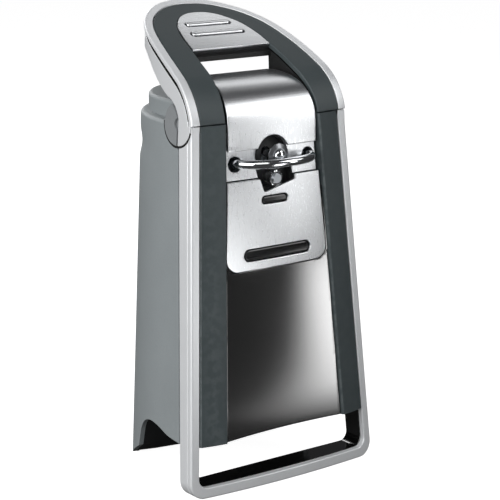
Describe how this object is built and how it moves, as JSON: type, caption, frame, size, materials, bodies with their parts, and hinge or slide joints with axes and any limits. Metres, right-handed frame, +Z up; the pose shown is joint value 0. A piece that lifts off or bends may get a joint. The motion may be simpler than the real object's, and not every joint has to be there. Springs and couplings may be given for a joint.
{
  "type": "electric can opener",
  "caption": "Upright electric can opener with a leaning front, a silver frame that forms a carry loop, a guide bar over a cutter, and a hinged push-down lever on top.",
  "frame": {"origin": "centre of the bounding box in plan, on the surface the opener stands on", "axes": "+Z up, -Y out of the front towards the user, +X to the right seen from the front"},
  "size_m": [0.1176, 0.1035, 0.2399],
  "materials": {
    "satin_silver": "satin silver paint over moulded plastic",
    "soft_touch": "charcoal, fine grain, soft to the touch",
    "textured_grey": "dark grey with an even spark-eroded texture",
    "gloss_black": "polished black",
    "brushed_steel": "brushed, clear lacquered",
    "chrome": "bright plated steel",
    "dark_plastic": "black moulded",
    "zinc_steel": "zinc plated",
    "rubber": "moulded black rubber",
    "nylon": "natural moulded nylon",
    "lamination": "stacked electrical steel",
    "copper": "enamelled copper winding"
  },
  "bodies": {
    "body": {"front_bezel_ring": "satin_silver", "frame_side_band": "satin_silver", "front_shell": "soft_touch", "rear_housing": "textured_grey", "loop_liner": "gloss_black", "gloss_front_panel": "gloss_black", "can_rest_pad_small": "gloss_black", "can_rest_pad_long": "gloss_black", "upper_cover_plate": "brushed_steel", "guide_band_plate": "brushed_steel", "lower_cover_plate": "brushed_steel", "can_guide_bar": "chrome", "cutter_well": "dark_plastic", "base_cover": "dark_plastic", "switch_body": "dark_plastic", "pivot_pin_left": "zinc_steel", "pivot_pin_right": "zinc_steel", "chassis_plate": "zinc_steel", "chassis_screw_1": "zinc_steel", "chassis_screw_2": "zinc_steel", "chassis_screw_3": "zinc_steel", "chassis_screw_4": "zinc_steel", "base_screw_left": "zinc_steel", "base_screw_right": "zinc_steel", "spring_seat": "zinc_steel", "lever_return_spring": "zinc_steel", "idler_post_1": "zinc_steel", "idler_post_2": "zinc_steel", "motor_bracket_front": "zinc_steel", "motor_bracket_rear": "zinc_steel", "motor_bolt_left": "zinc_steel", "motor_bolt_right": "zinc_steel", "rear_foot_pad_left": "rubber", "rear_foot_pad_right": "rubber", "cord_gland": "rubber", "drive_bushing": "nylon", "stator_core": "lamination", "field_coil": "copper"},
    "lever": {"lever_rim": "satin_silver", "lever_top_shell": "soft_touch", "lever_skirt": "satin_silver", "lever_inner_shell": "dark_plastic", "palm_insert": "brushed_steel", "palm_grip_bar_front": "brushed_steel", "palm_grip_bar_rear": "brushed_steel", "lever_cross_bar": "zinc_steel"},
    "cutter_carriage": {"cutter_carriage": "zinc_steel", "cutter_axle_bolt": "chrome"},
    "cutter": {"cutter_wheel": "chrome"},
    "switch_plunger": {"switch_plunger": "nylon"},
    "drive_train_output": {"output_gear": "nylon", "drive_shaft": "zinc_steel", "drive_wheel": "chrome"},
    "idler_two": {"idler_gear_2": "nylon"},
    "idler_one": {"idler_gear_1": "nylon"},
    "rotor": {"motor_shaft_pinion": "zinc_steel", "motor_rotor": "lamination", "cooling_fan": "nylon"}
  },
  "joints": [
    {"name": "lever_hinge", "type": "hinge", "parent": "body", "child": "lever", "pos_m": [0, -0.02148, 0.1867], "axis": [-1, 0, 0], "range_deg": [0, 9], "stiffness_Nm_per_rad": 1.5, "springref_deg": -5.73, "deforming": ["lever_return_spring"]},
    {"name": "carriage_slide", "type": "slide", "parent": "body", "child": "cutter_carriage", "axis": [0, 0, -1], "range_m": [0, 0.0014]},
    {"name": "plunger_slide", "type": "slide", "parent": "body", "child": "switch_plunger", "axis": [0, 0, -1], "range_m": [0, 0.0014]},
    {"name": "cutter_spin", "type": "hinge", "parent": "cutter_carriage", "child": "cutter", "pos_m": [-0.0004, -0.04328, 0.1684], "axis": [0, 1, 0], "continuous": true},
    {"name": "rotor_spin", "type": "hinge", "parent": "body", "child": "rotor", "pos_m": [0.00028, 0.01672, 0.08164], "axis": [0, 1, 0], "continuous": true},
    {"name": "idler_one_spin", "type": "hinge", "parent": "body", "child": "idler_one", "pos_m": [-0.00755, -0.00728, 0.11086], "axis": [0, 1, 0], "continuous": true},
    {"name": "idler_two_spin", "type": "hinge", "parent": "body", "child": "idler_two", "pos_m": [0.01562, -0.01428, 0.1303], "axis": [0, 1, 0], "continuous": true},
    {"name": "drive_spin", "type": "hinge", "parent": "body", "child": "drive_train_output", "pos_m": [0.0005, -0.02928, 0.1565], "axis": [0, 1, 0], "continuous": true}
  ],
  "couplings": [
    {"joint": "carriage_slide", "follows": "lever_hinge", "m_per_rad": 0.0086},
    {"joint": "plunger_slide", "follows": "lever_hinge", "m_per_rad": 0.0086},
    {"joint": "idler_one_spin", "follows": "rotor_spin", "ratio": -0.33333},
    {"joint": "idler_two_spin", "follows": "rotor_spin", "ratio": 0.11111},
    {"joint": "drive_spin", "follows": "rotor_spin", "ratio": -0.037037}
  ]
}
